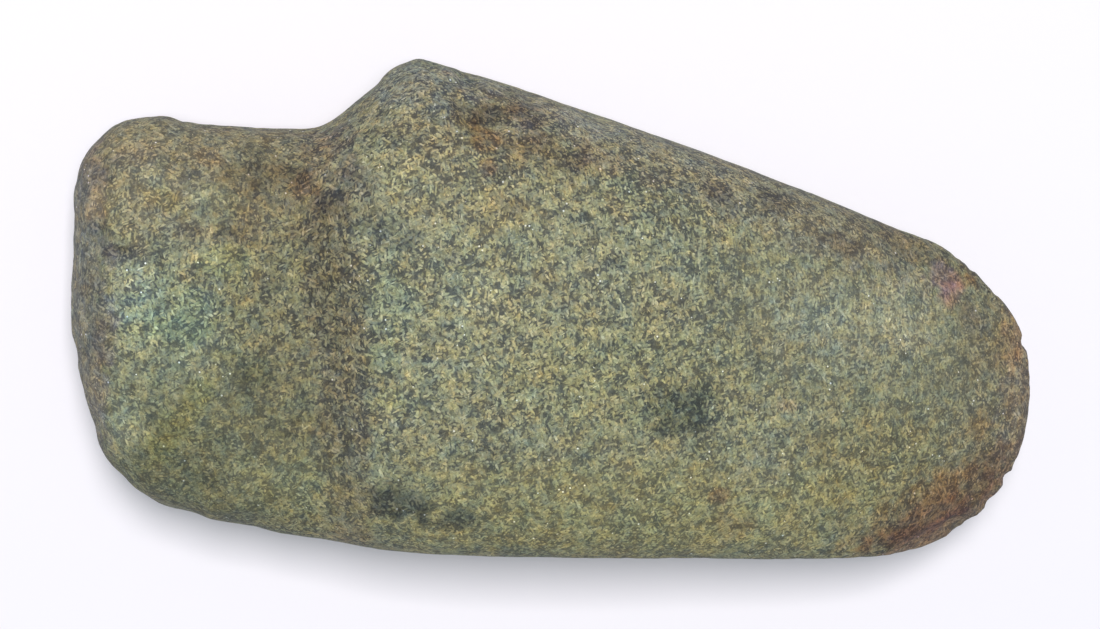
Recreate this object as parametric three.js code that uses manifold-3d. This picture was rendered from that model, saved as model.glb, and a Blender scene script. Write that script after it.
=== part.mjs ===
// A three-quarter grooved stone axe head, lying on its back. All lengths are in millimetres.
// +X runs from the poll to the cutting edge, +Y from the flat inner edge to the grooved outer
// edge, and +Z points up, out of the broad face. The origin is under the middle of the stone.
//
// The stone is one skin, made by moving the vertices of a sphere whose poles are the poll and the
// tip of the cutting edge. While it is shaped, a place is written as
//   along  - distance from the poll's end,
//   height - distance from the flat inner edge,
//   out    - distance from the middle plane, towards the broad face (+) or the back (-).
import * as THREE from "three";
import { mergeVertices } from "three/addons/utils/BufferGeometryUtils.js";
import { ImprovedNoise } from "three/addons/math/ImprovedNoise.js";
import Module from "manifold-3d";

const { clamp, lerp, smoothstep, degToRad } = THREE.MathUtils;

// Overall length, from the poll's end to the tip of the cutting edge
const LENGTH = 168;

// Poll: the blunt hammer end. A corner has a length and a power, where 2 is an ellipse's corner
// and a higher power is squarer.
const POLL_WIDTH = 72.3;
const POLL_THICKNESS = 44;
const POLL_MIDDLE = 42;
const POLL_OUTER_CORNER = 12;
const POLL_OUTER_POWER = 3;
const POLL_INNER_CORNER = 18;
const POLL_INNER_POWER = 1.85;
const POLL_FACE_CORNER = 9;
const POLL_FACE_POWER = 2.4;
const LIP_AT = 12;

// Groove for the haft, round the outer edge and both faces
const GROOVE_AT = 38;
const GROOVE_LIP = 1.2;
const GROOVE_THICKNESS = 37;
const OUTER_WALL_AT = 42.7;
const OUTER_WALL_ROUNDING = 4;
const FACE_WALL_AT = 43.4;
const FACE_WALL_SLOPE = 0.8;
const FACE_WALL_ROUNDING = 3;

// Shoulder crest. On the face it bows towards the poll, then flares to the peak on the outer edge.
const CREST_AT = 56.5;
const CREST_WIDTH = 85.4;
const CREST_EDGE_ROUNDING = 2.2;
const CREST_FACE_ROUNDING = 1.8;
const CREST_BOW = 5;
const CREST_BOW_HEIGHT = 62;
const CREST_BOW_REACH = 17;
const CREST_FLARE = 0.6;
const CREST_FLARE_HEIGHT = 72;
const CREST_FLARE_ROUNDING = 3;
const SKEW_FROM = 18;
const SKEW_TO = 110;

// Blade
const BLADE_THICKNESS = 52;
const BELLY_AT = 72;
const BELLY_POWER = 1.9;
const EDGE_POWER = 0.8;
const OUTER_TAPER = 27.5;
const OUTER_BOW = 0.9;

// Cutting edge
const BIT_OUTER_REACH = 28;
const BIT_OUTER_POWER = 2.8;
const BIT_INNER_REACH = 28;
const BIT_INNER_POWER = 2.05;
const TIP_HEIGHT = 28;

// Inner edge: ground flat for the wedge, rising towards the poll
const FLAT_CUT = 1.6;
const HEEL_AT = 63;
const HEEL_SLOPE = 0.14;
const HEEL_ROUNDING = 6;

// Back: ground flat where the stone lies
const REST_CUT = 1.4;

// How square the section is at the outer edge, at the inner edge and at the bit
const OUTER_SQUARENESS = 2.5;
const INNER_SQUARENESS = 3.1;
const BIT_SQUARENESS = 1.75;

// Skin: places round each ring, and rings in each stretch along the stone
const AROUND = 64;
const RINGS = { poll: 8, groove: 13, wall: 12, blade: 22, bit: 15 };
const UNEVENNESS = 0.5;
const UNEVEN_SPACING = 24;

// Soft hollows on the broad face (side 1) and the back (side -1): half length, half width, the
// way they run in degrees from the stone's length, and depth
const HOLLOWS = [
  { name: "heel scar", side: 1, along: 21, height: 13, long: 10, wide: 7, turn: 42, depth: 2.2 },
  { name: "shoulder pit", side: 1, along: 70, height: 75, long: 7, wide: 4, turn: -55, depth: 1.4 },
  { name: "back flake", side: -1, along: 30, height: 50, long: 12, wide: 9, turn: 30, depth: 1.6 },
  { name: "back dent", side: -1, along: 118, height: 50, long: 9, wide: 6, turn: -20, depth: 1.1 },
];

// Chips out of the cutting edge: height of each, its radius and how far it bites in
const CHIPS = [
  { height: 46.3, radius: 1.3, bite: 0.45 },
  { height: 37.6, radius: 1.2, bite: 0.35 },
  { height: 15.8, radius: 1.5, bite: 0.45 },
  { height: 10.4, radius: 1.3, bite: 0.45 },
  { height: 5.4, radius: 1.7, bite: 0.9 },
];
const CHIP_STRETCH = 1.8;

// A ramp: near zero below x = 0, rising one for one above it, its corner eased over "rounding".
const ramp = (x, rounding) => (x + Math.hypot(x, rounding)) / 2;

// The lesser of two values, blended over "rounding".
const lesser = (a, b, rounding) => (a + b - Math.hypot(a - b, rounding)) / 2;

// A superellipse's quarter: 1 at u = 0, falling to 0 at u = 1.
const quarter = (u, power) => Math.pow(1 - Math.pow(clamp(u, 0, 1), power), 1 / power);

// Share of a corner's height left at this distance from the poll's end, and from the tip.
const pollCorner = (along, corner, power) => quarter((corner - along) / corner, power);
const bitCorner = (along, reach, power) => quarter((along - LENGTH + reach) / reach, power);

// The line from the poll's middle to the tip, on which both edges close.
const middleHeight = (along) => lerp(POLL_MIDDLE, TIP_HEIGHT, clamp(along / LENGTH, 0, 1));

// Outline of the outer edge: the poll's lip, the groove, its wall, the crest and the blade.
function outerEdge(along) {
  const floor = POLL_WIDTH - GROOVE_LIP * smoothstep(along, LIP_AT, GROOVE_AT);
  const wall = floor + ramp(along - OUTER_WALL_AT, OUTER_WALL_ROUNDING);
  const share = (along - CREST_AT) / (LENGTH - BIT_OUTER_REACH - CREST_AT);
  const blade = CREST_WIDTH - OUTER_TAPER * share + 4 * OUTER_BOW * share * (1 - share);
  const edge = lesser(wall, blade, CREST_EDGE_ROUNDING);
  const atPoll = pollCorner(along, POLL_OUTER_CORNER, POLL_OUTER_POWER);
  const atBit = bitCorner(along, BIT_OUTER_REACH, BIT_OUTER_POWER);
  return lerp(middleHeight(along), edge, atPoll * atBit);
}

// Outline of the inner edge. It runs FLAT_CUT too low until the strip is ground flat.
function innerEdge(along) {
  const edge = -FLAT_CUT + HEEL_SLOPE * ramp(HEEL_AT - along, HEEL_ROUNDING);
  const atPoll = pollCorner(along, POLL_INNER_CORNER, POLL_INNER_POWER);
  const atBit = bitCorner(along, BIT_INNER_REACH, BIT_INNER_POWER);
  return lerp(middleHeight(along), edge, atPoll * atBit);
}

// Half the stone's thickness on the ridge of each face.
function faceRise(along) {
  const floor = lerp(POLL_THICKNESS, GROOVE_THICKNESS, smoothstep(along, LIP_AT, GROOVE_AT)) / 2;
  const wall = floor + FACE_WALL_SLOPE * ramp(along - FACE_WALL_AT, FACE_WALL_ROUNDING);
  const share = Math.abs(along - BELLY_AT) / (LENGTH - BELLY_AT);
  const taper = Math.pow(Math.max(1 - Math.pow(share, BELLY_POWER), 0), EDGE_POWER);
  const rise = lesser(wall, (BLADE_THICKNESS / 2) * taper, CREST_FACE_ROUNDING);
  return Math.max(rise, 0) * pollCorner(along, POLL_FACE_CORNER, POLL_FACE_POWER);
}

// How square the section is at this place; "across" is 1 on the outer edge, -1 on the inner edge.
function squareness(along, across) {
  const blunt = lerp(INNER_SQUARENESS, OUTER_SQUARENESS, smoothstep(across, -0.6, 0.6));
  const bitStart = LENGTH - 1.2 * BIT_INNER_REACH;
  return lerp(blunt, BIT_SQUARENESS, smoothstep(along, bitStart, LENGTH - 0.35 * BIT_INNER_REACH));
}

// How far the rings are skewed along the stone at this height, so that they follow the crest.
function crestShift(along, height) {
  const rising = smoothstep(along, SKEW_FROM, FACE_WALL_AT);
  const near = rising * (1 - smoothstep(along, CREST_AT, SKEW_TO));
  const bow = CREST_BOW * Math.exp(-(((height - CREST_BOW_HEIGHT) / CREST_BOW_REACH) ** 2));
  const flare = CREST_FLARE * ramp(height - CREST_FLARE_HEIGHT, CREST_FLARE_ROUNDING);
  return near * (flare - bow);
}

// Distances of the rings from the poll's end, close together where the form turns quickly.
function ringPlaces() {
  const places = [0];
  const spread = (from, to, count, ease) => {
    for (let i = 1; i <= count; i++) places.push(lerp(from, to, ease(i / count)));
  };
  const even = (t) => t;
  const slowStart = (t) => 1 - Math.cos((t * Math.PI) / 2);
  const slowEnd = (t) => Math.sin((t * Math.PI) / 2);
  const wallStart = FACE_WALL_AT - FACE_WALL_ROUNDING;
  const wallEnd = CREST_AT - CREST_FACE_ROUNDING;
  const bitStart = LENGTH - BIT_OUTER_REACH;
  spread(0, LIP_AT, RINGS.poll, slowStart);
  spread(LIP_AT, wallStart, RINGS.groove, even);
  spread(wallStart, wallEnd, RINGS.wall, even);
  spread(wallEnd, bitStart, RINGS.blade, even);
  spread(bitStart, LENGTH, RINGS.bit, slowEnd);
  return places;
}

// A point of the skin. "angle" is 0 on the outer edge and a quarter turn back on the broad face.
function skinPoint(ringPlace, angle) {
  const across = Math.cos(angle);
  const through = Math.sin(angle);
  const power = squareness(ringPlace, across);
  const wide = Math.sign(across) * Math.pow(Math.abs(across), 2 / power);
  const deep = Math.sign(through) * Math.pow(Math.abs(through), 2 / power);
  let along = ringPlace;
  let height = 0;
  for (let pass = 0; pass < 4; pass++) {
    height = lerp(innerEdge(along), outerEdge(along), (1 + wide) / 2);
    along = ringPlace + crestShift(ringPlace, height);
  }
  return new THREE.Vector3(along, height, deep * faceRise(ringPlace));
}

// The closed skin, before it is worn and ground.
function skinGeometry() {
  const places = ringPlaces();
  const geometry = new THREE.SphereGeometry(1, AROUND, places.length - 1);
  const position = geometry.getAttribute("position");
  for (let i = 0; i < position.count; i++) {
    const ring = Math.floor(i / (AROUND + 1));
    const angle = -(i % (AROUND + 1)) * ((2 * Math.PI) / AROUND);
    position.setXYZ(i, ...skinPoint(places[ring], angle));
  }
  geometry.deleteAttribute("uv");
  geometry.deleteAttribute("normal");
  const skin = mergeVertices(geometry, 1e-4);
  skin.computeVertexNormals();
  return skin;
}

const noise = new ImprovedNoise();

// The stone's gentle hand-made unevenness at a point: a wide swell and half as much at less than
// half its spacing.
function unevenness(p) {
  const swell = p.clone().divideScalar(UNEVEN_SPACING);
  const ripple = p.clone().divideScalar(0.43 * UNEVEN_SPACING);
  return UNEVENNESS * (noise.noise(...swell) + 0.5 * noise.noise(...ripple));
}

// How deep the hollows are at a point.
function hollowDepth(p) {
  let depth = 0;
  for (const hollow of HOLLOWS) {
    if (Math.sign(p.z) !== hollow.side) continue;
    const turn = degToRad(hollow.turn);
    const dx = p.x - hollow.along;
    const dy = p.y - hollow.height;
    const u = (dx * Math.cos(turn) + dy * Math.sin(turn)) / hollow.long;
    const v = (dy * Math.cos(turn) - dx * Math.sin(turn)) / hollow.wide;
    depth += hollow.depth * Math.exp(-1.4 * (u * u + v * v));
  }
  return depth;
}

// Moves each vertex along its normal, for the hollows and the unevenness, and then grinds the
// strip on the inner edge and the resting place on the back to true planes.
function wearAndGrind(skin) {
  const position = skin.getAttribute("position");
  const normal = skin.getAttribute("normal");
  const rest = REST_CUT - BLADE_THICKNESS / 2;
  const p = new THREE.Vector3();
  const n = new THREE.Vector3();
  for (let i = 0; i < position.count; i++) {
    p.fromBufferAttribute(position, i);
    n.fromBufferAttribute(normal, i);
    p.addScaledVector(n, unevenness(p) - hollowDepth(p));
    position.setXYZ(i, p.x, Math.max(p.y, 0), Math.max(p.z, rest));
  }
}

// The place on the cutting edge at this height, found by halving.
function edgePlace(height) {
  const edge = height > TIP_HEIGHT ? outerEdge : innerEdge;
  let near = LENGTH - Math.max(BIT_OUTER_REACH, BIT_INNER_REACH);
  let far = LENGTH;
  while (far - near > 0.01) {
    const half = (near + far) / 2;
    const inside = Math.abs(edge(half) - TIP_HEIGHT) > Math.abs(height - TIP_HEIGHT);
    if (inside) near = half;
    else far = half;
  }
  return new THREE.Vector3(near, height, 0);
}

// The round tool that takes one chip, stretched through the thickness of the edge.
function chipGeometry(chip) {
  const place = edgePlace(chip.height);
  const heart = new THREE.Vector3(LENGTH - BIT_OUTER_REACH, TIP_HEIGHT, 0);
  const outwards = place.clone().sub(heart).normalize();
  const centre = place.addScaledVector(outwards, chip.radius - chip.bite);
  const tool = new THREE.IcosahedronGeometry(chip.radius, 2);
  tool.scale(1, 1, CHIP_STRETCH);
  return tool.translate(centre.x, centre.y, centre.z);
}

const wasm = await Module();
wasm.setup();

function toSolid(geometry) {
  const bare = new THREE.BufferGeometry();
  bare.setAttribute("position", geometry.getAttribute("position"));
  bare.setIndex(geometry.getIndex());
  const merged = mergeVertices(bare, 1e-4);
  return new wasm.Manifold(
    new wasm.Mesh({
      numProp: 3,
      vertProperties: merged.getAttribute("position").array,
      triVerts: new Uint32Array(merged.getIndex().array),
    }),
  );
}

function toGeometry(solid) {
  const mesh = solid.getMesh();
  const geometry = new THREE.BufferGeometry();
  geometry.setAttribute("position", new THREE.BufferAttribute(mesh.vertProperties, 3));
  geometry.setIndex(new THREE.BufferAttribute(mesh.triVerts, 1));
  return geometry;
}

// The finished stone, moved so that it rests on z = 0 with the origin under its middle.
function stoneGeometry() {
  const skin = skinGeometry();
  wearAndGrind(skin);
  let solid = toSolid(skin);
  for (const chip of CHIPS) solid = solid.subtract(toSolid(chipGeometry(chip)));
  const stone = toGeometry(solid);
  stone.computeBoundingBox();
  const { min, max } = stone.boundingBox;
  return stone.translate(-(min.x + max.x) / 2, -(min.y + max.y) / 2, -min.z);
}

const stone = new THREE.MeshStandardMaterial({ color: 0x7f7e6a, roughness: 0.6, metalness: 0 });

const axeHead = new THREE.Mesh(stoneGeometry(), stone);
axeHead.name = "axe_head";

const axe = new THREE.Group();
axe.add(axeHead);

export default axe;
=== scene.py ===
"""The looks of the grooved stone axe head: its fine stone surface, floor, lights and camera.

Names that end in _MM, and the places and radii in the lists of features, are millimetres in the
part's frame: +X is the cutting edge, -X the poll, +Y the outer edge with the groove, and +Z is up,
with the floor at zero. Colours are linear.
"""

import math

import bmesh
import bpy
import numpy as np
from mathutils import Matrix, Vector, noise


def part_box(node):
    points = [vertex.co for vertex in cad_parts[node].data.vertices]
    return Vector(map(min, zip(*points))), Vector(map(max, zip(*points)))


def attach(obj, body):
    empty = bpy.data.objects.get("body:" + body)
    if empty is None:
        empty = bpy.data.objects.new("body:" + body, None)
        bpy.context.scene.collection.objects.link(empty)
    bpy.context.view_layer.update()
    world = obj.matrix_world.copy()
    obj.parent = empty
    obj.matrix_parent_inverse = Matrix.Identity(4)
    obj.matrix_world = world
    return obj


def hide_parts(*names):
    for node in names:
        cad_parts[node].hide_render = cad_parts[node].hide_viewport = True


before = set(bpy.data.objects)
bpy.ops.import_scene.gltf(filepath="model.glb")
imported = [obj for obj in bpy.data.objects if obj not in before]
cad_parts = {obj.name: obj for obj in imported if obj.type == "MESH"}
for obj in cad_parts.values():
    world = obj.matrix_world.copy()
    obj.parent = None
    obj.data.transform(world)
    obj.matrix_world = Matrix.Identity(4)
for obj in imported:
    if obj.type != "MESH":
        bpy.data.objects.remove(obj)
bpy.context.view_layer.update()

MM = 0.001

# The photograph's width in pixels, and the camera that matches its outline. Its back points away
# from the target, its roll is in degrees, and the pixels to a millimetre hold at the target.
PICTURE_WIDTH = 1100
SENSOR_WIDTH = 36.0
CAMERA_TARGET_MM = (-1.8, -1.3, 27.0)
CAMERA_BACK = (-0.09, 0.14, 0.986)
CAMERA_DISTANCE_MM = 600.0
CAMERA_ROLL = 2.0
CAMERA_NEAR = 0.01
CAMERA_FAR = 20.0
PIXELS_PER_MM = 5.79

# The fine mesh. Triangles are paired up to these angles in degrees, and the relief fades out over
# the lowest skin, so that the stone still lies flat.
WELD_MM = 0.001
PAIR_FACE_ANGLE = 25
PAIR_SHAPE_ANGLE = 60
SMOOTH_LEVELS = 2
VOXEL_MM = 0.66
REST_SKIN_MM = 0.5

# Low swelling and pecked pits over the whole stone, deeper and with lumps in the rough areas. The
# seeds shift each noise, and a pit is full and ends at these shares of the pits' spacing.
SWELL_SPACING_MM = 9.0
SWELL_HEIGHT_MM = 0.16
SWELL_SEED = 3.1
PECK_SPACING_MM = 2.3
PECK_DEPTH_MM = 0.10
PECK_SEED = 5.3
PECK_EDGE = (0.1, 0.62)
ROUGH_PECK_DEPTH_MM = 0.34
ROUGH_SPACING_MM = 3.6
ROUGH_HEIGHT_MM = 0.22
ROUGH_SEED = 8.7

# Areas that stay as rough as the pecking left them: centre, radii, turn about +Z. An area is full
# and ends at the shares of its radii given below it.
ROUGH_AREAS = {
    "poll end": ((-84, -8, 26), (9, 40, 30), 0),
    "poll upper corner": ((-66, 24, 34), (20, 15, 20), 0),
    "groove": ((-43, 6, 36), (10, 42, 24), -6),
    "shoulder": ((-22, 36, 34), (14, 10, 16), 0),
    "upper bit corner": ((68, 8, 26), (12, 10, 14), 0),
}
ROUGH_EDGE = (0.6, 1.1)

# Single hollows and bumps: centre, radii, turn about +Z, height (below zero is a hollow). Each is
# full and ends at the shares of its radii given below them.
SPOTS = {
    # Poll
    "poll top corner": ((-71.0, 31.5, 25.0), (9.0, 8.0, 17.0), 0, 0.55),
    "poll top bump": ((-69.3, 33.0, 25.0), (4.6, 6.0, 13.0), 0, 0.60),
    "poll peck field": ((-72.5, 18.5, 38.0), (9.0, 7.5, 9.0), 20, -0.38),
    "poll peck hole one": ((-78.8, 12.4, 38.1), (1.6, 1.7, 5.0), 0, -0.45),
    "poll peck hole two": ((-75.3, 9.4, 40.2), (3.4, 1.2, 5.0), 6, -0.45),
    "poll peck hole three": ((-78.1, 21.8, 35.5), (2.0, 1.5, 5.0), 0, -0.40),
    "poll peck hole four": ((-64.0, 13.2, 41.0), (2.4, 1.2, 5.0), 30, -0.35),
    "poll knob": ((-59.1, 17.2, 42.0), (4.2, 3.8, 5.0), 0, 0.30),
    "poll knob ditch": ((-57.0, 12.8, 42.0), (3.6, 1.3, 5.0), -10, -0.30),
    "poll ridge": ((-66.8, -18.5, 42.0), (8.0, 2.4, 5.0), 52, 0.22),
    "poll ridge hollow": ((-61.0, -24.5, 41.5), (8.5, 3.6, 5.0), 40, -0.30),
    "poll corner rise": ((-82.5, 20.5, 27.0), (5.0, 10.0, 17.0), 0, 0.95),
    "poll low corner rise": ((-79.0, -27.5, 30.0), (6.0, 6.5, 16.0), 0, 0.90),
    "poll underside one": ((-65.5, -35.0, 30.0), (8.0, 4.0, 15.0), -15, -0.65),
    "poll underside two": ((-53.0, -37.4, 34.0), (8.0, 3.4, 15.0), -8, -0.60),
    "poll end step": ((-82.4, -9.5, 31.0), (3.4, 3.4, 14.0), 0, -0.50),
    # Groove
    "groove mouth": ((-41.0, 31.2, 27.0), (8.0, 4.0, 15.0), 25, -0.45),
    # Shoulder
    "shoulder tip": ((-31.0, 41.0, 26.0), (4.5, 5.0, 15.0), 0, 0.75),
    "shoulder scar": ((-18.6, 34.4, 41.0), (1.4, 7.4, 7.0), 30, -0.45),
    "shoulder scar lip": ((-20.6, 33.8, 41.0), (1.4, 7.0, 7.0), 30, 0.24),
    "shoulder pit floor": ((-13.4, 33.6, 40.0), (3.6, 3.0, 6.0), 10, -0.36),
    "shoulder pit bump": ((-10.6, 31.2, 41.5), (1.8, 1.8, 5.0), 0, 0.24),
    # Outer edge
    "outer edge step one": ((-17.8, 39.4, 31.0), (2.8, 2.6, 12.0), -17, -0.70),
    "outer edge step two": ((-6.8, 36.6, 31.0), (2.4, 2.4, 12.0), -17, -0.50),
    "outer edge step three": ((4.8, 32.6, 31.0), (5.4, 2.8, 12.0), -17, -0.70),
    # Bit
    "upper bit scarp": ((62.5, 9.4, 30.0), (10.0, 1.6, 5.0), -25, -0.34),
    "upper bit facet": ((72.5, 3.8, 28.0), (3.6, 2.6, 5.0), -32, -0.30),
    "bit nick one": ((75.9, 2.7, 27.5), (1.5, 1.7, 5.0), 0, -0.75),
    "bit nick two": ((82.6, -4.6, 26.0), (1.6, 1.8, 6.0), 0, -0.65),
    "bit nick three": ((80.2, -28.8, 26.0), (1.9, 1.7, 7.0), 0, -0.75),
    "bit nick four": ((76.9, -32.9, 26.0), (1.9, 1.7, 7.0), 0, -0.60),
    "bit nick five": ((70.8, -37.2, 27.0), (3.4, 2.6, 8.0), 0, -1.10),
    "bit lower edge": ((65.5, -39.2, 29.0), (8.0, 3.4, 12.0), 20, -0.60),
    "bit upper edge": ((67.5, 10.8, 26.0), (10.0, 4.0, 13.0), -28, 0.55),
}
SPOT_EDGE = (0.25, 1.0)

# Light laths of mineral, two sizes: length, width and depth of the cell that holds one, how far it
# fills the cell, how soft its edge is, and the tilt and turn of each set in degrees
LATHS = {
    "large": (
        (3.3, 0.68, 0.68), 0.33, 0.10,
        ((20, 12), (-32, 48), (12, 84), (-20, 120), (36, 156)),
    ),
    "small": (
        (2.3, 0.42, 0.42), 0.25, 0.10,
        ((-10, 30), (24, 102)),
    ),
}
LATH_WAVE_MM = 0.30
LATH_WAVE_SPACING_MM = 1.8
LATH_COLOURS = (
    (0.00, (0.180, 0.192, 0.146)),
    (0.32, (0.246, 0.256, 0.162)),
    (0.66, (0.312, 0.317, 0.184)),
    (0.88, (0.330, 0.304, 0.178)),
    (1.00, (0.405, 0.405, 0.270)),
)
LATH_LIGHTNESS = (0.60, 1.10)

# The dark ground between the laths
GROUND_SPACING_MM = 0.9
GROUND_DETAIL = 4.0
GROUND_ROUGHNESS = 0.7
GROUND_COLOURS = (
    (0.28, (0.046, 0.050, 0.044)),
    (0.50, (0.074, 0.078, 0.066)),
    (0.72, (0.136, 0.138, 0.098)),
)

# How crowded the laths lie: spacing of the change, and how much it adds to or takes from their
# fill, and the noise at which it takes the most and adds the most
CROWDING = ((14.0, 0.030), (2.1, 0.095))
CROWDING_NOISE = (0.3, 0.7)

# A thin even film that half hides the grains: centre, radii, turn, border width, share
FILMS = {
    "poll lower": ((-60, -22, 40), (20, 18, 14), 0, 0.9, 0.26),
    "poll upper": ((-66, 24, 36), (18, 13, 14), 0, 0.9, 0.22),
    "face lower": ((14, -34, 44), (54, 15, 14), 0, 0.9, 0.24),
    "right face": ((52, 0, 42), (30, 20, 16), -14, 0.9, 0.26),
    "bit": ((76, -18, 30), (16, 30, 20), 0, 0.9, 0.22),
    "poll end": ((-88, -6, 24), (14, 46, 34), 0, 0.5, 0.28),
}
FILM_COLOUR = (0.165, 0.168, 0.117)

# Changes over the grains, from fine to broad: spacing, and the tints between which they run
GRIT_SPACING_MM = 0.32
GRIT_TINTS = ((0.30, (0.75, 0.75, 0.76)), (0.70, (1.25, 1.25, 1.24)))
HUE_SPACING_MM = 1.5
HUE_TINTS = ((0.30, (0.94, 1.00, 1.12)), (0.70, (1.07, 1.00, 0.88)))
CLUMP_SPACING_MM = 2.6
CLUMP_TINTS = ((0.30, (0.80, 0.84, 0.90)), (0.50, (0.99, 0.99, 0.98)), (0.72, (1.24, 1.19, 1.06)))
CLOUD_SPACING_MM = 5.5
CLOUD_TINTS = ((0.34, (0.94, 1.00, 1.05)), (0.66, (1.07, 1.00, 0.94)))
TINT_DETAIL = 2.0
TINT_ROUGHNESS = 0.6

# Tiny pale glints painted into the colour as painted highlights, most of them in groups: the share
# of cells with a glint outside a group and in one, the noise at which a group begins and is full,
# and where a glint ends and is full
GLINT_SPACING_MM = 0.60
GLINT_SHARES = (0.003, 0.060)
GLINT_GROUP_SPACING_MM = 5.0
GLINT_GROUP_NOISE = (0.54, 0.68)
GLINT_EDGE = (0.34, 0.18)
GLINT_COLOUR = (0.62, 0.64, 0.58)

# The sheen of the stone and its fine pores
STONE_ROUGHNESS = 0.68
STONE_SPECULAR = 0.22
PORE_SPACING_MM = 0.55
PORE_DETAIL = 3.0
PORE_ROUGHNESS = 0.7
PORE_STRENGTH = 0.8
PORE_DEPTH_MM = 0.10
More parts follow.
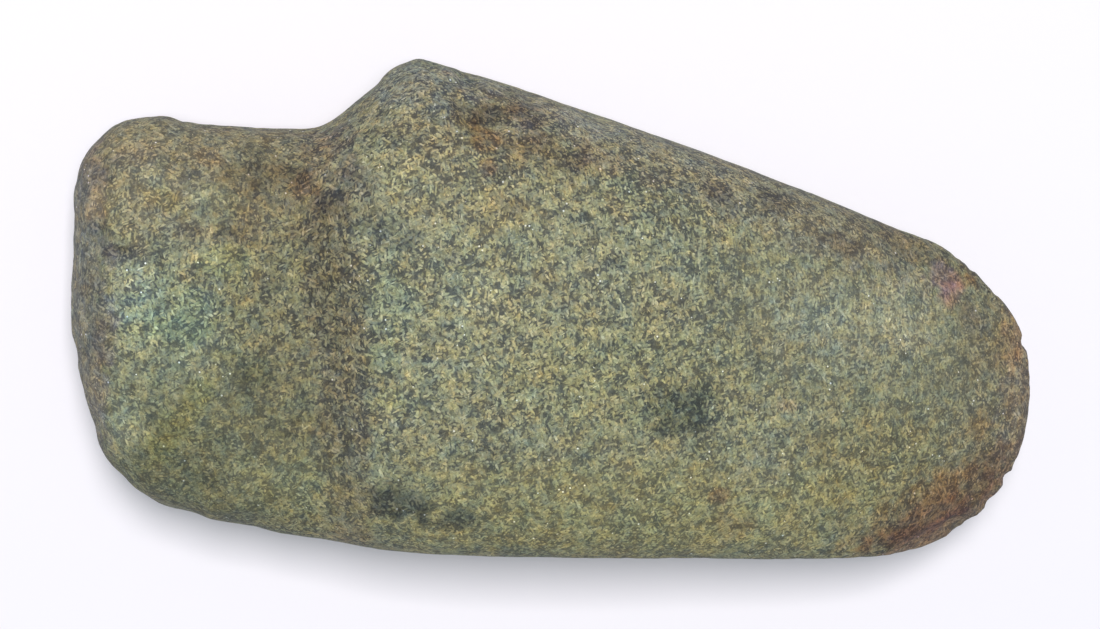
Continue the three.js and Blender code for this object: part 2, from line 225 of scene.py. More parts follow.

# Stains, and painted light and shade where marked: centre, radii, turn about +Z, width of the soft
# border, tint that multiplies the colour. Their outlines wander by the noises below, each a
# spacing and a share of the radius.
STAINS_AND_PAINTED_LIGHT = {
    # Poll
    "poll upper brown": ((-62, 25, 36), (25, 14, 17), 0, 0.5, (1.06, 0.96, 0.97)),
    "poll upper pale": ((-72.5, 20.8, 37.0), (4.5, 3.0, 7), 0, 0.7, (1.14, 1.16, 1.14)),
    "poll corner orange": ((-73.3, 25.1, 35.5), (3.6, 2.6, 8), 0, 0.6, (1.16, 1.06, 1.02)),
    "poll side yellow": ((-78.4, 17.5, 36.6), (2.2, 3.0, 7), 0, 0.6, (1.26, 1.22, 1.06)),
    "poll yellow": ((-67.7, 18.0, 40.0), (3.8, 1.7, 7), -30, 0.6, (1.18, 1.10, 0.88)),
    "poll small orange": ((-60.5, 25.2, 37.0), (2.0, 1.6, 6), 0, 0.6, (1.14, 0.99, 0.90)),
    "poll grey knob": ((-59.1, 17.4, 42.0), (4.0, 3.5, 6), 0, 0.5, (1.06, 1.14, 1.10)),
    # Painted shade: these four darken the carved peck holes
    "poll hole one painted shade": ((-78.8, 12.4, 38.1), (1.7, 1.9, 6), 0, 0.6, (0.80, 0.80, 0.84)),
    "poll hole two painted shade": ((-75.3, 9.2, 40.2), (3.6, 1.3, 6), 6, 0.6, (0.62, 0.60, 0.66)),
    "poll hole three painted shade": ((-78.1, 21.6, 35.5), (2.2, 1.6, 6), 0, 0.6, (0.72, 0.74, 0.80)),
    "poll hole four painted shade": ((-64.0, 13.2, 41.0), (2.4, 1.2, 6), 30, 0.6, (0.74, 0.72, 0.76)),
    "poll knob shade": ((-56.6, 12.9, 42.0), (2.4, 1.3, 6), -10, 0.6, (0.74, 0.74, 0.80)),
    "poll teal": ((-66, -2.0, 43.5), (11, 9, 9), 0, 0.8, (0.96, 1.05, 1.08)),
    "poll teal heart": ((-64.5, -1.5, 43.4), (5.0, 3.6, 7), 0, 0.8, (0.96, 1.05, 1.05)),
    # Painted highlights: a pale bluish patch on the poll, a line along its left edge, and one on
    # its low ridge
    "poll pale": ((-73.2, 3.6, 41.0), (4.4, 5.0, 8), 0, 0.7, (1.16, 1.20, 1.32)),
    "poll edge painted highlight": ((-73.6, -10, 40.5), (3.0, 16, 9), -3, 0.8, (1.08, 1.12, 1.14)),
    "poll low painted highlight": ((-74.4, -21.0, 38.5), (3.4, 4.6, 8), 0, 0.8, (1.44, 1.46, 1.50)),
    "poll pale green": ((-57.9, 8.8, 43.1), (4.2, 2.8, 7), 0, 0.7, (1.16, 1.20, 1.06)),
    "poll low orange": ((-63.5, 6.1, 43.3), (2.4, 1.3, 6), 0, 0.7, (1.12, 0.97, 0.86)),
    # Painted shade: the lower poll slope darkened where it turns away from the light, with a
    # little olive
    "poll lower painted shade": ((-56, -24, 40), (21, 15, 10), 0, 0.7, (0.81, 0.81, 0.76)),
    "poll streak": ((-64.3, -17.6, 42.0), (10.4, 2.4, 7), 57, 0.8, (1.09, 1.05, 0.83)),
    "poll dark one": ((-52.6, -9.6, 43.3), (3.3, 3.0, 7), 0, 0.8, (0.78, 0.80, 0.80)),
    "poll dark two": ((-56.9, -13.2, 43.8), (2.4, 1.8, 7), 0, 0.8, (0.82, 0.84, 0.88)),
    "poll low tan": ((-67.1, -28.2, 38.2), (2.8, 2.0, 7), 20, 0.8, (1.08, 1.06, 1.00)),
    "poll dark three": ((-61.0, -29.0, 39.0), (3.0, 2.0, 7), 0, 0.8, (0.78, 0.78, 0.78)),
    "poll end": ((-88, -6, 24), (12.4, 46, 34), 0, 0.16, (0.97, 0.91, 1.08)),
    # Painted sheen and fill light: the poll end made lighter and bluer
    "poll end painted sheen and fill light": ((-88, 2, 24), (6.6, 42, 32), 0, 0.3, (1.22, 1.24, 1.30)),
    "poll end dark": ((-77.4, -6.0, 38.5), (2.6, 4.0, 7), 0, 0.7, (0.92, 0.86, 0.90)),
    # Painted fill light: the low part of the poll end made lighter
    "poll end low painted fill light": ((-79.6, -17.0, 35.5), (3.2, 6.0, 9), 0, 0.8, (1.22, 1.20, 1.22)),
    # Groove
    "groove dark rust": ((-44.7, 21.0, 39.9), (2.4, 1.6, 6), 0, 0.6, (1.02, 0.91, 0.84)),
    "groove dark patch": ((-41.4, 19.3, 43.0), (2.6, 1.8, 7), 30, 0.7, (0.62, 0.66, 0.78)),
    "groove side dark": ((-52.0, 22.6, 37.5), (6.4, 2.8, 8), 0, 0.8, (0.74, 0.72, 0.72)),
    "groove side brown": ((-48, 8, 42), (11, 25, 14), 4, 0.9, (0.81, 0.77, 0.72)),
    "groove bed": ((-38.7, -5, 42), (4.8, 54, 20), 5.5, 0.7, (0.92, 0.86, 0.92)),
    "groove low pale": ((-47, -30, 40), (9, 5, 8), 0, 0.8, (1.20, 1.20, 1.14)),
    "groove edge dark one": ((-36.2, 22.3, 45.0), (3.4, 3.4, 7), 0, 0.8, (0.74, 0.78, 0.92)),
    "groove edge dark two": ((-34.4, 16.8, 47.4), (3.0, 2.4, 7), 0, 0.7, (0.66, 0.68, 0.76)),
    "groove edge dark three": ((-30.2, 14.6, 48.9), (4.4, 2.2, 7), -10, 0.7, (0.72, 0.72, 0.78)),
    "groove edge dark four": ((-38.6, 28.0, 38.5), (2.4, 7.0, 9), 24, 0.7, (0.84, 0.84, 0.92)),
    # Shoulder
    "shoulder brown": ((-20, 33, 38), (20, 9, 12), -12, 0.7, (1.00, 0.94, 0.96)),
    "shoulder warm": ((-24, 26, 45), (15, 9, 11), -10, 0.8, (1.03, 0.99, 0.96)),
    # Painted sheen: the shoulder's outer edge made lighter and bluer
    "shoulder crown painted sheen": ((-25, 39, 36), (11, 4.6, 12), 0, 0.8, (1.00, 1.06, 1.26)),
    "shoulder cream one": ((-29.2, 34.4, 40.5), (1.8, 1.8, 6), 0, 0.7, (1.26, 1.22, 1.12)),
    "shoulder cream two": ((-28.1, 24.7, 46.7), (2.2, 2.6, 6), 0, 0.7, (1.20, 1.16, 1.10)),
    "shoulder cream three": ((-22.7, 28.4, 45.7), (2.0, 1.6, 6), 0, 0.7, (1.16, 1.12, 1.06)),
    "shoulder tan low": ((-13, 18.6, 48), (7.0, 2.4, 7), 0, 0.7, (1.14, 1.04, 0.94)),
    "shoulder scar": ((-18.4, 34.3, 41), (1.6, 8.0, 8), 30, 0.7, (0.84, 0.77, 0.72)),
    "shoulder pit": ((-11.0, 32.4, 40.5), (7.5, 4.6, 8), -14, 0.8, (0.88, 0.84, 0.82)),
    "shoulder pit floor": ((-13.4, 33.9, 39.5), (3.6, 2.2, 6), 10, 0.7, (0.66, 0.62, 0.64)),
    "shoulder pit grey": ((-10.4, 31.9, 40.8), (3.2, 1.6, 6), 0, 0.7, (1.10, 1.16, 1.28)),
    "shoulder pit rust": ((-14.4, 30.0, 43.2), (2.0, 2.2, 6), 20, 0.7, (1.06, 0.95, 0.90)),
    "shoulder pit dark": ((-7.4, 34.6, 37.5), (2.6, 2.2, 6), 0, 0.7, (0.74, 0.74, 0.80)),
    "shoulder red speck": ((-15.3, 25.7, 46), (1.6, 1.3, 6), 0, 0.7, (1.12, 0.96, 0.92)),
    "shoulder pit foot": ((-4.5, 27.8, 43.5), (11, 3.4, 7), -10, 0.8, (0.90, 0.84, 0.82)),
    "shoulder pale one": ((-17.3, 28.2, 45.3), (2.4, 2.4, 6), 0, 0.7, (1.24, 1.20, 1.12)),
    "shoulder pale two": ((5.3, 26.2, 42.0), (2.6, 2.6, 6), 0, 0.7, (1.18, 1.14, 1.10)),
    "shoulder dark one": ((-13.1, 24.6, 46.6), (2.7, 1.7, 7), 0, 0.7, (0.72, 0.73, 0.80)),
    "shoulder dark two": ((0.3, 26.9, 42.9), (2.6, 1.8, 7), 0, 0.7, (0.80, 0.78, 0.84)),
    "shoulder dark three": ((-10.4, 19.5, 48.0), (2.4, 1.8, 7), 0, 0.7, (0.74, 0.76, 0.84)),
    "shoulder dark four": ((2.2, 17.2, 47.5), (2.6, 2.2, 7), 0, 0.7, (0.80, 0.82, 0.88)),
    # Crest beside the groove
    "crest teal": ((-29.6, 4, 49.5), (4.0, 6.0, 7), 0, 0.7, (0.94, 1.04, 1.10)),
    "crest teal low": ((-31, -6, 49), (2.6, 3.4, 7), 30, 0.6, (0.80, 0.92, 1.00)),
    "crest cream": ((-29.9, -12.8, 49), (1.8, 1.8, 7), 0, 0.6, (1.20, 1.20, 1.06)),
    # Middle of the face
    "dark cluster one": ((-27.4, -31.0, 45.5), (5.4, 3.2, 8), -8, 0.8, (0.38, 0.42, 0.57)),
    "dark cluster two": ((-18.0, -33.7, 45.0), (4.4, 1.9, 8), 8, 0.8, (0.52, 0.56, 0.70)),
    "dark cluster three": ((-13.2, -21.6, 49.5), (3.2, 2.8, 8), 30, 0.8, (0.78, 0.81, 0.88)),
    "dark face spot": ((18.8, -14.3, 48.2), (5.6, 4.2, 8), 0, 0.7, (0.50, 0.55, 0.64)),
    "face olive": ((9, -10, 49), (18, 9, 9), 0, 0.9, (1.00, 1.00, 0.93)),
    "face orange one": ((-5.7, 8.5, 50), (2.2, 1.8, 7), 0, 0.7, (1.10, 0.99, 0.90)),
    "face orange two": ((7.7, 19.1, 45.8), (3.2, 1.3, 7), -50, 0.7, (1.16, 1.02, 0.92)),
    # Painted highlight on the face beside the crest
    "face painted highlight": ((-16.6, 5.0, 50), (4.0, 3.8, 8), 0, 0.8, (1.34, 1.35, 1.32)),
    "face blue one": ((33.3, -24.7, 44.9), (4.4, 3.6, 8), 0, 0.8, (0.96, 0.99, 1.12)),
    "face blue two": ((4.3, 9.4, 49.1), (3.0, 2.4, 8), 0, 0.8, (0.88, 0.92, 1.02)),
    "red spot": ((26.6, -29.0, 45.3), (1.9, 1.7, 7), 0, 0.6, (0.82, 0.70, 0.75)),
    "red spot low": ((29.7, -34.6, 43.2), (3.0, 2.4, 7), 0, 0.7, (0.94, 0.82, 0.80)),
    "tan spot": ((38.0, -13.5, 44.2), (1.9, 1.3, 7), 0, 0.6, (1.16, 0.98, 0.94)),
    # Lower edge of the face
    # Olive colour and painted fill light: the lower face made lighter than the light leaves it
    "lower face olive and painted fill light": ((10, -31, 44), (46, 9, 12), 0, 0.8, (1.12, 1.08, 0.92)),
    # Painted fill light: the strip along the lower edge made lighter
    "bottom strip painted fill light": ((0, -40.0, 40), (62, 4.4, 10), 0, 0.8, (1.14, 1.12, 1.08)),
    # Towards the bit
    "right teal": ((41.0, 0.9, 43.0), (7.0, 3.6, 8), -10, 0.8, (1.00, 1.05, 1.10)),
    # Painted highlight near the bit
    "right painted highlight": ((59.6, 1.6, 36.0), (5.4, 6.0, 9), 0, 0.9, (1.12, 1.10, 1.12)),
    # Painted sheen: a broad pale patch on the face near the bit
    "right painted sheen": ((50.0, 0.5, 41.0), (17, 7.6, 10), -5, 0.8, (1.16, 1.15, 1.20)),
    # Bit
    "bit olive": ((54, -24, 40), (14, 10, 10), -10, 0.9, (1.05, 0.98, 0.86)),
    "lower bit": ((69, -35, 33), (18, 9.5, 14), 24, 0.9, (0.88, 0.67, 0.64)),
    "lower bit deep": ((66, -35.5, 32.5), (9.0, 4.2, 12), 20, 0.8, (0.92, 0.82, 0.88)),
    "lower bit orange": ((66.5, -29.6, 36.0), (7.0, 3.4, 10), 24, 0.8, (1.12, 1.01, 0.92)),
    "lower bit dark one": ((72.5, -33.0, 31), (4.4, 2.0, 8), 32, 0.8, (0.78, 0.71, 0.74)),
    "lower bit dark two": ((61.5, -37.6, 33), (8.0, 1.8, 8), 12, 0.8, (0.82, 0.72, 0.76)),
    "lower bit dark three": ((77.0, -25.6, 30), (2.0, 4.4, 8), -12, 0.8, (0.84, 0.77, 0.80)),
    "lower bit pale": ((69.5, -30.5, 34), (2.6, 1.6, 8), 20, 0.8, (1.20, 1.12, 1.04)),
    "lower bit rim": ((70.5, -38.5, 25), (17, 5.5, 9), 27, 0.8, (1.22, 1.17, 1.28)),
    "bit brown": ((82, -12, 28), (14, 26, 22), 0, 0.9, (1.02, 0.93, 0.92)),
    "bit rim": ((84, -14, 26), (7, 24, 20), 0, 0.5, (1.14, 1.06, 1.14)),
    "bit edge": ((88.5, -12, 25), (7.2, 34, 20), 0, 0.3, (0.94, 0.88, 0.92)),
    "upper bit edge": ((73.5, 7.6, 25), (9.0, 2.4, 12), -42, 0.7, (0.84, 0.80, 0.82)),
    "bit brown streak": ((78.4, -4.5, 27.5), (2.5, 5.0, 8), -12, 0.8, (0.98, 0.86, 0.80)),
    "bit rust": ((73.8, -18.0, 31.8), (2.0, 2.6, 7), 0, 0.8, (1.08, 0.90, 0.80)),
    "upper bit purple": ((66.6, 6.6, 30.0), (3.6, 2.3, 8), -28, 0.8, (1.07, 0.94, 1.22)),
    "upper bit red": ((67.3, 4.0, 30.8), (2.2, 1.8, 8), -40, 0.8, (1.04, 0.82, 0.90)),
    "upper bit orange": ((70.5, 6.4, 27.8), (1.6, 1.3, 8), 0, 0.7, (1.18, 1.00, 0.86)),
    "upper bit slate": ((71.4, 0.3, 30.2), (3.4, 2.0, 8), -40, 0.8, (0.78, 0.77, 0.84)),
    "upper bit band": ((61.0, 11.8, 29.5), (11.0, 2.3, 9), -26, 0.8, (0.80, 0.75, 0.74)),
    # Outer edge
    # Painted sheen: these two make the outer edge lighter and bluer
    "outer edge painted sheen one": ((1.5, 33.0, 34.5), (7.0, 2.6, 8), -17, 0.8, (1.14, 1.17, 1.24)),
    "outer edge painted sheen two": ((14.0, 29.6, 32), (20, 2.6, 8), -18, 0.8, (1.10, 1.11, 1.16)),
    "outer edge band": ((30, 22.5, 36), (50, 6.5, 14), -20, 0.5, (1.01, 0.94, 1.00)),
    "outer edge dark one": ((25.3, 21.5, 39.0), (3.0, 1.6, 8), -18, 0.8, (0.68, 0.67, 0.76)),
    "outer edge dark two": ((34.8, 20.2, 36.0), (3.2, 1.8, 8), -20, 0.8, (0.64, 0.64, 0.72)),
    "outer edge dark three": ((46.6, 13.6, 36.6), (4.4, 1.5, 8), -22, 0.8, (0.74, 0.71, 0.76)),
}
PATCH_RAGS = ((3.4, 0.50), (1.5, 0.40))
PATCH_SEED = 1.7

# The outline of a stain or painted patch with a larger radius than this wanders no further than
# at this radius
WIDE_RADIUS_MM = 5.0

# Light and floor
FLOOR_SIZE_MM = 6000.0
FLOOR_COLOUR = (0.79, 0.77, 0.83)
FLOOR_ROUGHNESS = 0.9
FLOOR_SPECULAR = 0.1
KEY_PLACE_MM = (-80.0, 370.0, 1500.0)
KEY_WIDTH_MM = 320.0
KEY_DEPTH_MM = 540.0
KEY_POWER = 27.0
KEY_COLOUR = (1.0, 0.97, 0.95)
SKY_COLOUR = (0.73, 0.95, 1.0)
SKY_STRENGTH = 0.245


def turned(points, centre, radii, turn):
    """Distance of each point from an ellipsoid's centre, one at its surface."""
    angle = math.radians(turn)
    away = points - np.array(centre, float)
    along = away[:, 0] * math.cos(angle) + away[:, 1] * math.sin(angle)
    across = away[:, 1] * math.cos(angle) - away[:, 0] * math.sin(angle)
    local = np.stack([along, across, away[:, 2]], 1) / np.array(radii, float)
    return np.linalg.norm(local, axis=1)


def fade(distance, inner, outer):
    """One up to the inner distance, zero from the outer one on, smooth between."""
    t = np.clip((outer - distance) / (outer - inner), 0, 1)
    return t * t * (3 - 2 * t)


def noise_at(points, spacing, seed):
    """Smooth noise from about -1 to 1 at each point."""
    moved = points / spacing + seed
    return np.array([noise.noise(Vector(p)) for p in moved])


def cell_distance(points, spacing, seed):
    """Distance from each point to the nearest of a loose field of seeds, in spacings."""
    moved = points / spacing + seed
    return np.array([noise.voronoi(Vector(p))[0][0] for p in moved])


def welded_copy(node):
    """A copy of the CAD solid with its corners joined and its triangles paired."""
    mesh = node.data.copy()
    mesh.name = "stone_surface"
    work = bmesh.new()
    work.from_mesh(mesh)
    bmesh.ops.remove_doubles(work, verts=work.verts, dist=WELD_MM * MM)
    bmesh.ops.join_triangles(
        work,
        faces=work.faces,
        angle_face_threshold=math.radians(PAIR_FACE_ANGLE),
        angle_shape_threshold=math.radians(PAIR_SHAPE_ANGLE),
    )
    work.to_mesh(mesh)
    work.free()
    piece = bpy.data.objects.new("stone_surface", mesh)
    bpy.context.scene.collection.objects.link(piece)
    return piece


def refine(piece):
    """Rounds the facets and gives the stone an even, fine mesh."""
    smooth = piece.modifiers.new("smooth", "SUBSURF")
    smooth.levels = SMOOTH_LEVELS
    even = piece.modifiers.new("even", "REMESH")
    even.mode = "VOXEL"
    even.voxel_size = VOXEL_MM * MM
    depsgraph = bpy.context.evaluated_depsgraph_get()
    fine = bpy.data.meshes.new_from_object(piece.evaluated_get(depsgraph))
    piece.modifiers.clear()
    piece.data = fine


def mesh_points(mesh):
    """The mesh's points in millimetres, and its normals."""
    count = len(mesh.vertices)
    places = np.zeros(count * 3)
    mesh.vertices.foreach_get("co", places)
    normals = np.zeros(count * 3)
    mesh.vertex_normals.foreach_get("vector", normals)
    return places.reshape(-1, 3) / MM, normals.reshape(-1, 3)


def relief(points):
    """How far the real surface lies outside the smooth form at each point, in millimetres."""
    rough = np.zeros(len(points))
    for centre, radii, turn in ROUGH_AREAS.values():
        rough = np.maximum(rough, fade(turned(points, centre, radii, turn), *ROUGH_EDGE))
    swell = noise_at(points, SWELL_SPACING_MM, SWELL_SEED) * SWELL_HEIGHT_MM
    lumps = noise_at(points, ROUGH_SPACING_MM, ROUGH_SEED) * ROUGH_HEIGHT_MM * rough
    peck = fade(cell_distance(points, PECK_SPACING_MM, PECK_SEED), *PECK_EDGE)
    peck_depth = PECK_DEPTH_MM + (ROUGH_PECK_DEPTH_MM - PECK_DEPTH_MM) * rough
    height = swell + lumps - peck * peck_depth
    for centre, radii, turn, rise in SPOTS.values():
        height += rise * fade(turned(points, centre, radii, turn), *SPOT_EDGE)
    return height


def carve(piece):
    """Moves the points by the relief, and keeps them in the CAD solid's box and off the floor."""
    points, normals = mesh_points(piece.data)
    low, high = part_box("axe_head")
    flat = fade(points[:, 2], 0, REST_SKIN_MM)
    points += normals * (relief(points) * (1 - flat))[:, None]
    points = np.clip(points, np.array(low) / MM, np.array(high) / MM)
    piece.data.vertices.foreach_set("co", (points * MM).ravel())
    piece.data.update()
    piece.data.shade_smooth()


def stain_and_painted_light_tints(points):
    """The product of all stains and all painted light and shade at each point."""
    rag = sum(noise_at(points, spacing, PATCH_SEED) * share for spacing, share in PATCH_RAGS)
    tints = np.ones((len(points), 3))
    for centre, radii, turn, border, tint in STAINS_AND_PAINTED_LIGHT.values():
        ragged = rag * min(1.0, WIDE_RADIUS_MM / min(radii[:2]))
        distance = turned(points, centre, radii, turn) + ragged
        cover = fade(distance, 1 - border / 2, 1 + border / 2)
        tints *= 1 + cover[:, None] * (np.array(tint) - 1)
    return tints


def film_shares(points):
    """How much of the grain the films hide at each point."""
    clear = np.ones(len(points))
    for centre, radii, turn, border, share in FILMS.values():
        distance = turned(points, centre, radii, turn)
        clear *= 1 - share * fade(distance, 1 - border / 2, 1 + border / 2)
    return 1 - clear


def paint(piece):
    """Stores the stains, the painted light and shade, and the films on the mesh's points for the
    material.
    """
    points, _ = mesh_points(piece.data)
    colours = np.ones((len(points), 4))
    colours[:, :3] = stain_and_painted_light_tints(points)
    stain_and_painted_light = piece.data.attributes.new("stain_and_painted_light", "FLOAT_COLOR", "POINT")
    stain_and_painted_light.data.foreach_set("color", colours.ravel())
    film = piece.data.attributes.new("film", "FLOAT", "POINT")
    film.data.foreach_set("value", film_shares(points))


class Graph:
    """Adds shader nodes to one tree. An input is a plain value or another node's output."""

    def __init__(self, tree):
        self.tree = tree

    def node(self, kind, inputs=(), **settings):
        """One node with its settings, and with its inputs set or linked."""
        made = self.tree.nodes.new(kind)
        for name, value in settings.items():
            setattr(made, name, value)
        for key, value in dict(inputs).items():
            socket = made.inputs[key]
            if isinstance(value, bpy.types.NodeSocket):
                self.tree.links.new(value, socket)
            else:
                socket.default_value = value
        return made

    def number(self, kind, a, b=0.0):
        """One step of arithmetic on numbers."""
        return self.node("ShaderNodeMath", {0: a, 1: b}, operation=kind).outputs[0]

    def vector(self, kind, a, b=(0, 0, 0)):
        """One step of arithmetic on vectors."""
        return self.node("ShaderNodeVectorMath", {0: a, 1: b}, operation=kind).outputs[0]

    def scaled(self, a, factor):
        """A vector or colour times a number."""
        made = self.node("ShaderNodeVectorMath", operation="SCALE")
        self.tree.links.new(a, made.inputs[0])
        self.tree.links.new(factor, made.inputs["Scale"])
        return made.outputs[0]

    def placed(self, a, place, turn, size):
        """Coordinates measured from a place, along turned axes, in units of size."""
        inputs = {"Vector": a, "Location": place, "Rotation": turn, "Scale": size}
        return self.node("ShaderNodeMapping", inputs, vector_type="TEXTURE").outputs[0]

    def between(self, value, low, high, to_low=0.0, to_high=1.0):
        """A smooth step from one range to another."""
        inputs = {"Value": value, "From Min": low, "From Max": high}
        inputs.update({"To Min": to_low, "To Max": to_high})
        step = self.node("ShaderNodeMapRange", inputs, interpolation_type="SMOOTHSTEP")
        return step.outputs[0]

    def noise(self, where, spacing, detail=2.0, roughness=0.5):
        """Soft noise whose waves lie about that far apart."""
        inputs = {"Vector": where, "Scale": 1 / spacing, "Detail": detail, "Roughness": roughness}
        return self.node("ShaderNodeTexNoise", inputs)

    def cells(self, where):
        """A loose field of seeds: the distance to the nearest, and its random colour."""
        return self.node("ShaderNodeTexVoronoi", {"Vector": where, "Scale": 1.0})

    def blend(self, kind, amount, a, b):
        """The second colour laid over the first."""
        made = self.node("ShaderNodeMix", data_type="RGBA", blend_type=kind)
        sockets = {0: amount, 6: a, 7: b}
        for index, value in sockets.items():
            if isinstance(value, bpy.types.NodeSocket):
                self.tree.links.new(value, made.inputs[index])
            else:
                made.inputs[index].default_value = value
        return made.outputs[2]

    def ramp(self, value, stops):
        """The colour that the stops give for a value."""
        made = self.node("ShaderNodeValToRGB", {0: value})
        points = made.color_ramp.elements
        for place, colour in stops[2:]:
            points.new(place)
        for point, (place, colour) in zip(points, stops):
            point.position = place
            point.color = (*colour, 1.0)
        return made.outputs[0]


def new_material(name, roughness):
    """A material, its shader and a graph to add nodes to."""
    made = bpy.data.materials.new(name)
    made.use_nodes = True
    shader = made.node_tree.nodes["Principled BSDF"]
    shader.inputs["Roughness"].default_value = roughness
    return made, shader, Graph(made.node_tree)


def stone_places(graph):
    """Coordinates on the stone in millimetres, straight ones and wavy ones."""
    here = graph.node("ShaderNodeTexCoord").outputs["Object"]
    straight = graph.vector("MULTIPLY", here, (1 / MM,) * 3)
    wave = graph.noise(straight, LATH_WAVE_SPACING_MM, detail=1.0).outputs["Color"]
    centred = graph.vector("SUBTRACT", wave, (0.5,) * 3)
    shift = graph.vector("MULTIPLY", centred, (2 * LATH_WAVE_MM,) * 3)
    return straight, graph.vector("ADD", straight, shift)


def crowding(graph, straight):
    """How much more or less of its cell each lath fills."""
    total = 0.0
    for spacing, reach in CROWDING:
        dense = graph.noise(straight, spacing).outputs["Fac"]
        total = graph.number("ADD", graph.between(dense, *CROWDING_NOISE, -reach, reach), total)
    return total


def laths(graph, wavy, crowd, colour):
    """Lays every set of laths over the colour, the small ones last."""
    for cell, fill, softness, directions in LATHS.values():
        inner = graph.number("ADD", crowd, fill - softness)
        outer = graph.number("ADD", crowd, fill + softness)
        for tilt, turn in directions:
            rotation = (0, math.radians(tilt), math.radians(turn))
            cells = graph.cells(graph.placed(wavy, (turn, tilt, 0), rotation, cell))
            mask = graph.between(cells.outputs["Distance"], outer, inner)
            dice = graph.node("ShaderNodeSeparateColor", {0: cells.outputs["Color"]})
            tone = graph.ramp(dice.outputs[0], LATH_COLOURS)
            light = graph.between(dice.outputs[1], 0.0, 1.0, *LATH_LIGHTNESS)
            colour = graph.blend("MIX", mask, colour, graph.scaled(tone, light))
    return colour


def glinting(graph, straight, colour):
    """Adds tiny pale painted glints, most of them in groups."""
    group = graph.noise(straight, GLINT_GROUP_SPACING_MM, detail=1.0).outputs["Fac"]
    share = graph.between(group, *GLINT_GROUP_NOISE, *GLINT_SHARES)
    cells = graph.cells(graph.vector("MULTIPLY", straight, (1 / GLINT_SPACING_MM,) * 3))
    near = graph.between(cells.outputs["Distance"], *GLINT_EDGE)
    dice = graph.node("ShaderNodeSeparateColor", {0: cells.outputs["Color"]}).outputs[2]
    chosen = graph.number("LESS_THAN", dice, share)
    cover = graph.number("MULTIPLY", near, chosen)
    return graph.blend("MIX", cover, colour, (*GLINT_COLOUR, 1.0))


def clouded(graph, straight, colour):
    """Multiplies the colour by noise at four scales."""
    clouds = (
        (GRIT_SPACING_MM, GRIT_TINTS),
        (HUE_SPACING_MM, HUE_TINTS),
        (CLUMP_SPACING_MM, CLUMP_TINTS),
        (CLOUD_SPACING_MM, CLOUD_TINTS),
    )
    for spacing, tints in clouds:
        cloud = graph.noise(straight, spacing, TINT_DETAIL, TINT_ROUGHNESS).outputs["Fac"]
        colour = graph.blend("MULTIPLY", 1.0, colour, graph.ramp(cloud, tints))
    return colour


def stone_material():
    """Speckled grey-green stone: light laths on a dark ground, veiled, mottled and stained, with
    painted light and shade.
    """
    made, shader, graph = new_material("speckled_stone", STONE_ROUGHNESS)
    shader.inputs["Specular IOR Level"].default_value = STONE_SPECULAR
    straight, wavy = stone_places(graph)
    ground = graph.noise(straight, GROUND_SPACING_MM, GROUND_DETAIL, GROUND_ROUGHNESS)
    colour = graph.ramp(ground.outputs["Fac"], GROUND_COLOURS)
    colour = laths(graph, wavy, crowding(graph, straight), colour)
    film = graph.node("ShaderNodeAttribute", attribute_name="film").outputs["Fac"]
    colour = graph.blend("MIX", film, colour, (*FILM_COLOUR, 1.0))
    colour = glinting(graph, straight, colour)
    colour = clouded(graph, straight, colour)
    stain_and_painted_light = graph.node("ShaderNodeAttribute", attribute_name="stain_and_painted_light").outputs["Color"]
    colour = graph.blend("MULTIPLY", 1.0, colour, stain_and_painted_light)
    graph.tree.links.new(colour, shader.inputs["Base Color"])
    pores = graph.noise(straight, PORE_SPACING_MM, PORE_DETAIL, PORE_ROUGHNESS).outputs["Fac"]
    inputs = {"Height": pores, "Strength": PORE_STRENGTH, "Distance": PORE_DEPTH_MM * MM}
    bump = graph.node("ShaderNodeBump", inputs)
    graph.tree.links.new(bump.outputs[0], shader.inputs["Normal"])
    return made


def add_stone():
    """The fine stone surface, which stands for the CAD solid."""
    piece = welded_copy(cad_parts["axe_head"])
    refine(piece)
    carve(piece)
    paint(piece)
    piece.data.materials.clear()
    piece.data.materials.append(stone_material())
    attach(piece, "root")
    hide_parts("axe_head")


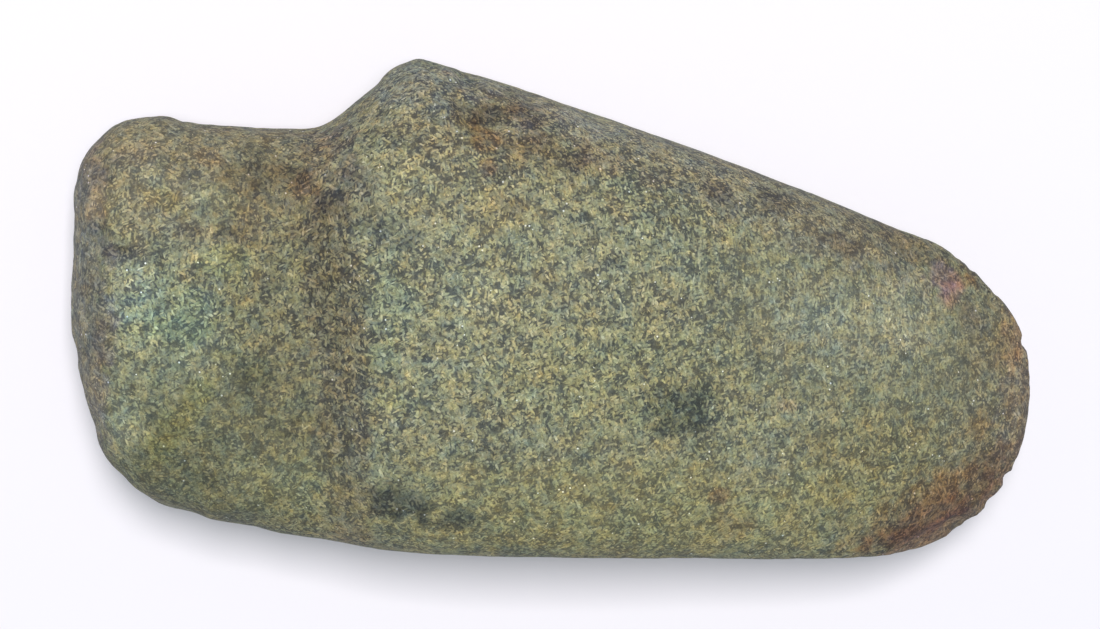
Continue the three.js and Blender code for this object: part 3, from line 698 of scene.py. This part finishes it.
def add_floor():
    """A plain pale floor."""
    half = FLOOR_SIZE_MM * MM / 2
    mesh = bpy.data.meshes.new("floor")
    corners = [(-half, -half, 0), (half, -half, 0), (half, half, 0), (-half, half, 0)]
    mesh.from_pydata(corners, [], [(0, 1, 2, 3)])
    floor = bpy.data.objects.new("floor", mesh)
    bpy.context.scene.collection.objects.link(floor)
    made, shader, _ = new_material("pale_floor", FLOOR_ROUGHNESS)
    shader.inputs["Base Color"].default_value = (*FLOOR_COLOUR, 1.0)
    shader.inputs["Specular IOR Level"].default_value = FLOOR_SPECULAR
    mesh.materials.append(made)


def aimed(back, roll):
    """The rotation of a camera or light whose back points that way, rolled about it."""
    back = Vector(back).normalized()
    right = Vector((0, 1, 0)).cross(back).normalized()
    up = back.cross(right)
    angle = math.radians(roll)
    rolled_right = right * math.cos(angle) + up * math.sin(angle)
    rolled_up = up * math.cos(angle) - right * math.sin(angle)
    return Matrix((rolled_right, rolled_up, back)).transposed()


def add_camera():
    """The camera that gives the photograph's outline."""
    back = Vector(CAMERA_BACK).normalized()
    data = bpy.data.cameras.new("camera")
    data.sensor_width = SENSOR_WIDTH
    data.lens = PIXELS_PER_MM * CAMERA_DISTANCE_MM * SENSOR_WIDTH / PICTURE_WIDTH
    data.clip_start = CAMERA_NEAR
    data.clip_end = CAMERA_FAR
    camera = bpy.data.objects.new("camera", data)
    place = Vector(CAMERA_TARGET_MM) + back * CAMERA_DISTANCE_MM
    camera.matrix_world = Matrix.Translation(place * MM) @ aimed(back, CAMERA_ROLL).to_4x4()
    bpy.context.scene.collection.objects.link(camera)
    bpy.context.scene.camera = camera


def add_lights():
    """One large soft light above, and an even pale sky."""
    data = bpy.data.lights.new("key", "AREA")
    data.shape = "RECTANGLE"
    data.size = KEY_WIDTH_MM * MM
    data.size_y = KEY_DEPTH_MM * MM
    data.energy = KEY_POWER
    data.color = KEY_COLOUR
    key = bpy.data.objects.new("key", data)
    place = Vector(KEY_PLACE_MM) * MM
    key.matrix_world = Matrix.Translation(place) @ aimed(place, 0).to_4x4()
    bpy.context.scene.collection.objects.link(key)
    world = bpy.data.worlds.new("sky")
    world.use_nodes = True
    background = world.node_tree.nodes["Background"]
    background.inputs["Color"].default_value = (*SKY_COLOUR, 1.0)
    background.inputs["Strength"].default_value = SKY_STRENGTH
    bpy.context.scene.world = world


add_stone()
add_floor()
add_lights()
add_camera()
bpy.context.scene.view_settings.view_transform = "Standard"
